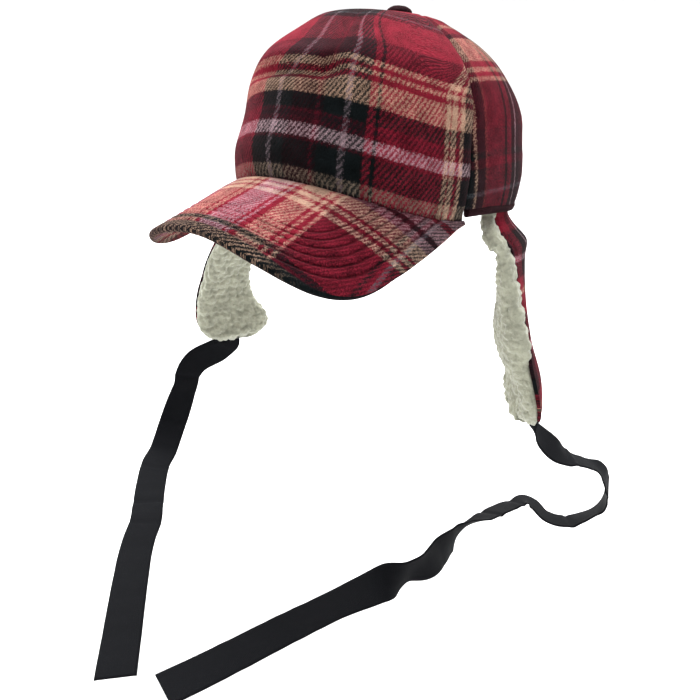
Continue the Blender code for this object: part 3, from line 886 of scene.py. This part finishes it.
class CAP_OT_peak(bpy.types.Operator):
    """Make the peak: cloth over a curved board, with rows of stitching"""

    bl_idname = "cap.peak"
    bl_label = "Peak"

    def execute(self, context):
        sizes = context.scene.cap_sizes
        edge, run = peak_edge()
        corner = math.radians(PEAK_CORNER)
        stations, deep = 220, 130
        s = np.linspace(-1, 1, stations) * 0.985
        turn = s * corner
        r = opening_radius(turn) + PEAK_ROOT_GAP
        inner = np.stack([r * np.sin(turn), -r * np.cos(turn)], -1)
        outer = np.stack([np.interp(0.5 + 0.5 * s, run, edge[:, k]) for k in (0, 1)], -1)
        tree = kdtree.KDTree(len(edge))
        for k, (x, y) in enumerate(edge):
            tree.insert((x, y, 0.0), k)
        tree.balance()
        reach = np.linalg.norm(outer - inner, axis=1)
        half = 0.5 * sizes.peak_edge
        back = np.minimum(half, reach * 0.35)
        # The top face runs out to just short of the rolled edge
        span = (outer - inner) * (1 - back / reach)[:, None]
        plan = inner[:, None] + span[:, None] * (np.linspace(0, 1, deep) ** 0.9)[:, None]
        top = np.concatenate([plan, peak_height(plan[..., 0], plan[..., 1])[..., None]], -1)
        normal = -face_normals(top)
        normal *= np.sign(normal[..., 2:3])
        distance = np.array([[tree.find((x, y, 0.0))[2] for x, y in row] for row in plan])
        # Stitch rows pull the cloth down to the board, and it stands up between them
        groove = np.zeros_like(distance)
        for k in range(sizes.stitch_rows):
            wander = 0.00025 * soft_noise(top, 0.02, 9 + k)
            groove += hump(distance - FIRST_STITCH_ROW - k * sizes.row_pitch - wander, 0.00075)
        stitched = distance < FIRST_STITCH_ROW + 0.0005 + sizes.stitch_rows * sizes.row_pitch
        quilt = np.where(stitched, 1.0, 0.4)
        stitch = 1.0 + 0.35 * soft_noise(top, 0.0022, 12)
        wave = 0.00035 * soft_noise(top, 0.03, 6) + 0.0001 * quilt * soft_noise(top, 0.006, 7)
        root = 0.0010 * hump(np.linalg.norm(plan - inner[:, None], axis=-1), 0.0018)
        top = top + normal * (wave - 0.00055 * groove * stitch - root)[..., None]
        # The rolled edge, a little fuller than the board
        angles = np.linspace(0, math.pi, 11)[1:-1]
        rim, n_edge = top[:, -1], normal[:, -1]
        out = np.concatenate([unit(outer - inner), np.zeros((stations, 1))], -1)
        out = unit(out - n_edge * (out * n_edge).sum(-1, keepdims=True))
        puff = 1.0 + 0.05 * soft_noise(rim, 0.008, 8)
        roll = [
            rim - n_edge * (half * (1 - math.cos(a))) + out * (back * math.sin(a) * puff)[:, None]
            for a in angles
        ]
        under = top[:, ::-2] - normal[:, ::-2] * (2 * half)
        rings = np.concatenate([top, np.stack(roll, 1), under], 1)
        # Flat cloth: across the arch, and out from the root in the middle
        across = np.arcsin(np.clip(rings[..., 0] / PEAK_BEND, -0.97, 0.97)) * PEAK_BEND
        slant = math.sqrt(1 + PEAK_SLOPE**2)
        # The rows bow with the arch, and climb towards the wearer's right
        climb = 0.036 * (np.clip(-across, 0, 0.1) / 0.08) ** 4
        fall = -rings[..., 1] * slant + 2.5 * across**2 + climb
        flat = np.stack([across, fall], -1)
        flat = np.concatenate([flat, flat[:, :1]], 1)
        # Way in from the edge and way along it, for the stitch rows; the underside has none
        far = np.full(rings.shape[:2], 0.2)
        far[:, :deep] = distance
        far[:, deep : deep + len(roll)] = 0.0
        rows = np.stack([far, np.broadcast_to(run_along(outer)[:, None], far.shape)], -1)
        rows = np.concatenate([rows, rows[:, :1]], 1)
        piece = loft("peak_cloth", rings, flat, rows=rows)
        in_edit_mode(piece, bpy.ops.mesh.normals_make_consistent)
        coat = material(
            "check wool peak", wool, PEAK_WARP, PEAK_WEFT, lean=-1.0, ruffle=2.2, least=0.16, stitched=True,
            pitch=2.8,
        )
        finish_piece(piece, "peak", coat)
        return {"FINISHED"}


class CAP_OT_button(bpy.types.Operator):
    """Make the covered button on top of the crown"""

    bl_idname = "cap.button"
    bl_label = "Button"

    def execute(self, context):
        sizes = context.scene.cap_sizes
        base = CROWN_HEIGHT - 0.0001
        bpy.ops.object.select_all(action="DESELECT")
        bpy.ops.mesh.primitive_uv_sphere_add(segments=64, ring_count=32, radius=1.0)
        piece = context.object
        piece.name = piece.data.name = "button_cloth"
        co = read_points(piece.data)
        angle = np.arctan2(co[:, 1], co[:, 0])
        ring = np.hypot(co[:, 0], co[:, 1])
        # Cloth drawn round a dome, with eight soft gathers under its edge
        gather = 1.0 - 0.03 * np.cos(8 * angle) * np.clip(0.35 - co[:, 2], 0, 1) * ring
        xy = co[:, :2] * (sizes.button * gather)[:, None]
        z = np.where(co[:, 2] > 0, co[:, 2] * 0.0041, co[:, 2] * 0.0017) + 0.0017
        new = np.column_stack([xy, z + base])
        new[:, 1] += CROWN_LEAN
        new += (co * (0.00018 * soft_noise(co, 0.35, 4))[:, None])
        set_points(piece.data, new, new[:, :2] + (0.030, 0.015))
        finish_piece(piece, "top_button", hem_wool())
        return {"FINISHED"}


def flap_point(side, u, v):
    """A point of an ear flap's outer face: u from its front edge (-1) to its back edge (+1), v down."""
    length, flare, sway, twist, shift, start, bulge = HANG[side]
    middle, low, round_from, _ = FLAP_SHAPE[side]
    angle = np.radians(-6.0 + twist * v)
    half = np.interp(v, (0.0, 0.1, 0.22, round_from, 1.0), (FLAP_TOP_HALF, 0.035, middle, low, low))
    end = np.clip((v - round_from) / (1.0 - round_from), 0.0, 1.0)
    half = half * np.sqrt(np.maximum(1.0 - end**2.4, 0.0))
    bow = np.interp(v, (0.0, 0.3, 1.0), (0.010, FLAP_BOW, 0.6 * FLAP_BOW)) * (1.0 - u * u)
    x = start + flare * v + bulge * 4 * v * (1.0 - v) + np.sin(angle) * u * half + np.cos(angle) * bow
    y = 0.010 + sway * v + shift * np.minimum(v / 0.16, 1.0)
    y += np.cos(angle) * u * half - np.sin(angle) * bow
    top = 0.008 - 0.003 * u
    free = np.stack([side * x, y, top - (length + top) * v], -1)
    turn = np.radians(FLAP_MIDDLE + FLAP_SPREAD * u)
    r = opening_radius(turn) - FLAP_INSET
    sewn = np.stack([side * r * np.sin(turn), -r * np.cos(turn), edge_height(side * turn) + 0.004], -1)
    sewn[..., 2] -= v * length * 1.05
    k = smooth((v - 0.03) / 0.11)[..., None]
    return sewn * (1.0 - k) + free * k


def fleece_roll(side, v):
    """Share of a flap's width, at its front edge, that the fleece covers: none in the lower half."""
    return np.maximum(FLAP_SHAPE[side][-1] * (1.0 - smooth((v - 0.50) / 0.20)), 1e-6)


def at_height(values, v):
    """A table of values from top to end, read at share v of the way down."""
    return along(np.array(values)[:, None], v)[..., 0]


def flap_grid(side, u, v):
    """Points, outward normals and flat-cloth places of a flap's outer face."""
    u, v = np.broadcast_arrays(u, v)
    front, back, turn = (at_height(table[side], v) for table in (FLAP_FRONT_LINE, FLAP_BACK_LINE, FLAP_TURN))
    points = flap_point(side, 2 * (u + (1 - u) * front + u * back) - 1, v * FLAP_END)
    points = points + face_normals(points) * (-side * 0.001 * turn * smooth((u - 0.02) / 0.4))[..., None]
    normal = face_normals(points) * -side
    flat = np.stack([(u - 0.5) * 0.075, -v * 0.14], -1)
    return points, normal, flat


class CAP_OT_flaps(bpy.types.Operator):
    """Make the two ear flaps' check wool shells"""

    bl_idname = "cap.flaps"
    bl_label = "Ear flaps"

    def execute(self, context):
        coat = material("check wool flap", wool, FLAP_WARP, FLAP_WEFT)
        for side, word in ((1, "left"), (-1, "right")):

            def shape(u, v):
                edge = np.minimum(np.minimum(u, 1 - u) * 0.07, (1 - v) * 0.135)
                u2 = u + 0.5 * fleece_roll(side, v) * (1 - u) * smooth(v / 0.06)
                points, normal, flat = flap_grid(side, u2, v)
                bound = 0.0007 * hump(edge - 0.0045, 0.0022) + 0.0008 * hump(edge, 0.0014)
                wave = 0.0005 * soft_noise(points, 0.022, 21) - bound
                return points + normal * wave[..., None], flat

            piece = lay_cloth(f"flap_shell_{word}_cloth", 56, 100, shape)
            if side > 0:
                in_edit_mode(piece, bpy.ops.mesh.flip_normals)
            thicken(piece)
            in_edit_mode(piece, bpy.ops.mesh.normals_make_consistent)
            finish_piece(piece, f"ear_flap_{word}", coat)
        return {"FINISHED"}


class CAP_OT_fleece(bpy.types.Operator):
    """Make the fleece linings of the flaps"""

    bl_idname = "cap.fleece"
    bl_label = "Fleece"

    def execute(self, context):
        sizes = context.scene.cap_sizes
        coat = material("curled fleece", curled_fleece)
        for side, word in ((1, "left"), (-1, "right")):
            tall, wide, flat_side = 170, 150, 60
            v = np.linspace(0.0, 1.0, tall)[:, None]
            # Section of the pad, with more columns near its edges, where it turns; it fills the round end
            step = np.linspace(0.0, 1.0, wide)
            a = (math.pi * step - 0.3 * np.sin(2 * math.pi * step))[None]
            round_off = (1.0 - np.clip((v - 0.94) / 0.06, 0, 1) ** 3) ** 0.5
            full = sizes.fleece * at_height(FLEECE_DEPTH[side], v)
            depth = full * np.sin(a) ** 0.42 * (0.10 + 0.90 * round_off)
            # It rolls past the cloth's edges, apart from the right flap's front edge and the lower half of
            # the left one's, where the cloth shows
            front = 0.024 - 0.068 * smooth((v - 0.50) / 0.20) if side > 0 else -0.018
            back = 0.024
            u = (0.5 - 0.5 * np.cos(a)) * (1.0 + front + back) - front + np.zeros_like(v)
            points, normal, _ = flap_grid(side, u, v)
            backing = sizes.cloth + 0.0003
            inner = points - normal * (backing + depth)[..., None]
            # Where the cloth stops short of the front edge, the pile rolls round it and shows outside
            first = 0.01 + np.maximum(-front, 0.0)
            u = first + (0.99 - first) * np.linspace(0.0, 1.0, flat_side)[None] + np.zeros_like(v)
            roll = fleece_roll(side, v)
            bare = 1.0 - smooth((u - 0.40 * roll) / (0.35 * roll))
            points, outward, _ = flap_grid(side, u, v)
            outer = (points - outward * (backing * (1.0 - 0.9 * bare))[..., None])[:, ::-1]
            rings = np.concatenate([inner, outer], 1)
            rings[..., 2] -= 0.0035 * smooth((v - 0.85) / 0.15)
            # Curls: rounded lumps of pile with creases between them, at three sizes
            out = face_normals(rings)
            out *= np.sign(-(out[:, wide // 2] * normal[:, wide // 2]).sum(-1))[:, None, None]
            lump = (
                1.15 * (packed_lumps(rings, 0.0056, 31) - 0.35)
                + 0.55 * (packed_lumps(rings, 0.0032, 32) - 0.35)
                + 0.45 * soft_noise(rings, 0.0150, 33)
            )
            # They stand free on the inside and where it is bare, and half as high at its two edges
            free = np.ones(rings.shape[:2])
            free[:, wide:] = bare[:, ::-1]
            free[:, :4] = free[:, wide - 4 : wide] = 0.5
            rings = rings + out * (sizes.pile * lump * free)[..., None]
            flat = np.zeros((tall, rings.shape[1] + 1, 2))
            piece = loft(f"flap_fleece_{word}_pile", rings, flat)
            in_edit_mode(piece, bpy.ops.mesh.normals_make_consistent)
            finish_piece(piece, f"flap_fleece_{word}", coat)
        return {"FINISHED"}


class CAP_OT_ties(bpy.types.Operator):
    bl_idname = "cap.ties"
    bl_label = "Ties"

    def execute(self, context):
        sizes = context.scene.cap_sizes
        ribbon = material("ribbed ribbon", ribbed_ribbon)
        for rows, word in ((TIE_RIGHT, "right"), (TIE_LEFT, "left")):
            steps = 12 * (len(rows) - 1)
            data = along(rows, np.linspace(0, 1, steps + 1))
            centre = data[:, :3] / 1000.0
            a, b = np.radians(data[:, 3]), np.radians(data[:, 4])
            across = np.stack([np.cos(b) * np.cos(a), np.cos(b) * np.sin(a), np.sin(b)], -1)
            ahead = np.gradient(centre, axis=0)
            ahead[0] = (0, 0, -1)
            ahead = unit(ahead)
            across = unit(across - ahead * (across * ahead).sum(-1, keepdims=True))
            normal = np.cross(ahead, across)
            half, thick = 0.5 * sizes.ribbon_width, 0.5 * sizes.ribbon_thick
            run = run_along(centre)
            # Soft cockles from folding, and a few creases across
            cockle = 0.0006 * soft_noise(centre, 0.016, 41) + 0.0004 * soft_noise(centre, 0.007, 42)
            for place in TIE_CREASES:
                cockle -= 0.0011 * hump(run - place, 0.0022)
            cockle *= np.minimum(np.linspace(0, 1, len(cockle)) / 0.04, 1.0)
            lifted = centre + normal * cockle[:, None]
            # Section: flat, with a slightly thicker woven edge on each side
            places = np.linspace(-1, 1, 13)
            rim = 1.0 + 0.35 * hump(1 - np.abs(places), 0.06)
            wide = half * np.concatenate([places, places[::-1]])
            deep = thick * np.concatenate([rim, -rim])
            rings = lifted[:, None] + across[:, None] * wide[:, None] + normal[:, None] * deep[:, None]
            flat = np.stack(np.meshgrid(np.append(wide, wide[0]), run), -1)
            piece = loft(f"tie_{word}_ribbon", rings, flat)
            in_edit_mode(piece, bpy.ops.mesh.normals_make_consistent)
            finish_piece(piece, f"tie_ribbon_{word}", ribbon)
        return {"FINISHED"}


def make_floor():
    """A matt white floor that sweeps up all round, far from the cap."""
    around = np.linspace(0, 2 * math.pi, 97)[:-1]
    flat, bend = 2.2, 1.4
    profile = [(0.05, 0.0), (0.6, 0.0), (1.4, 0.0), (flat, 0.0)]
    profile += [(flat + bend * math.sin(a), bend - bend * math.cos(a)) for a in np.linspace(0.12, 1.45, 12)]
    r, z = np.array(profile).T[..., None]
    rings = np.stack([r * np.cos(around), r * np.sin(around), FLOOR_HEIGHT + z + 0 * around], -1)
    floor = loft("floor", rings, np.zeros((len(profile), len(around) + 1, 2)), caps=(0,))
    use(floor)
    bpy.ops.object.shade_smooth()
    mat = bpy.data.materials.new("matt paper")
    mat.use_nodes = True
    shader = mat.node_tree.nodes["Principled BSDF"]
    shader.inputs["Base Color"].default_value = (0.80, 0.80, 0.80, 1.0)
    shader.inputs["Roughness"].default_value = 0.9
    shader.inputs["Specular IOR Level"].default_value = 0.1
    floor.data.materials.append(mat)


def light_cap(scene):
    """An even white sky, and two round softboxes aimed at the cap."""
    scene.world = scene.world or bpy.data.worlds.new("studio")
    scene.world.use_nodes = True
    sky = scene.world.node_tree.nodes["Background"]
    sky.inputs["Color"].default_value = (1.0, 1.0, 1.0, 1.0)
    sky.inputs["Strength"].default_value = 0.82
    for name, place, size, power in SOFTBOXES:
        data = bpy.data.lights.new(name, "AREA")
        data.shape = "DISK"
        data.size = size
        data.energy = power
        lamp = bpy.data.objects.new(name, data)
        scene.collection.objects.link(lamp)
        lamp.location = place
        lamp.rotation_euler = (-Vector(place)).to_track_quat("-Z", "Y").to_euler()


def set_camera(scene):
    """The photograph's camera."""
    turn, roll = math.radians(CAMERA_TURN), math.radians(CAMERA_ROLL)
    down = math.atan(HORIZON_PIXELS / FOCAL_PIXELS)
    level = Vector((-math.sin(turn), math.cos(turn), 0.0))
    ahead = level * math.cos(down) - Vector((0.0, 0.0, math.sin(down)))
    across = Vector((math.cos(turn), math.sin(turn), 0.0))
    above = across.cross(ahead)
    right = across * math.cos(roll) + above * math.sin(roll)
    up = above * math.cos(roll) - across * math.sin(roll)
    data = bpy.data.cameras.new("camera")
    data.sensor_fit = "HORIZONTAL"
    data.sensor_width = SENSOR_WIDTH
    data.lens = FOCAL_PIXELS / PHOTO_PIXELS * SENSOR_WIDTH
    data.clip_start = 0.01
    camera = bpy.data.objects.new("camera", data)
    scene.collection.objects.link(camera)
    turned = Matrix((right, up, -ahead)).transposed().to_4x4()
    camera.matrix_world = Matrix.Translation(CAMERA_PLACE) @ turned
    scene.camera = camera
    scene.view_settings.view_transform = "Standard"


class CAP_OT_stage(bpy.types.Operator):
    """Make the floor, the lights and the camera"""

    bl_idname = "cap.stage"
    bl_label = "Stage"

    def execute(self, context):
        make_floor()
        light_cap(context.scene)
        set_camera(context.scene)
        return {"FINISHED"}


class CAP_PT_panel(bpy.types.Panel):
    """The cap's sizes, colours and pieces"""

    bl_label = "Ear-flap cap"
    bl_space_type = "VIEW_3D"
    bl_region_type = "UI"
    bl_category = "Cap"

    def draw(self, context):
        for group in (context.scene.cap_sizes, context.scene.cap_colours):
            box = self.layout.box()
            for key in group.__annotations__:
                box.prop(group, key)
        for operator in OPERATORS:
            self.layout.operator(operator.bl_idname)


OPERATORS = (
    CAP_OT_stage, CAP_OT_ties, CAP_OT_crown, CAP_OT_hem, CAP_OT_peak, CAP_OT_button, CAP_OT_flaps,
    CAP_OT_fleece,
)
CLASSES = (CapSizes, CapColours, *OPERATORS, CAP_PT_panel)


def register():
    for cls in CLASSES:
        bpy.utils.register_class(cls)
    bpy.types.Scene.cap_sizes = PointerProperty(type=CapSizes)
    bpy.types.Scene.cap_colours = PointerProperty(type=CapColours)


def unregister():
    del bpy.types.Scene.cap_colours
    del bpy.types.Scene.cap_sizes
    for cls in reversed(CLASSES):
        bpy.utils.unregister_class(cls)


def main():
    register()
    for step in ("stage", "ties", "crown", "hem", "peak", "button", "flaps", "fleece"):
        result = getattr(bpy.ops.cap, step)()
        if result != {"FINISHED"}:
            raise RuntimeError(f"cap.{step} did not finish")


if __name__ == "__main__":
    main()
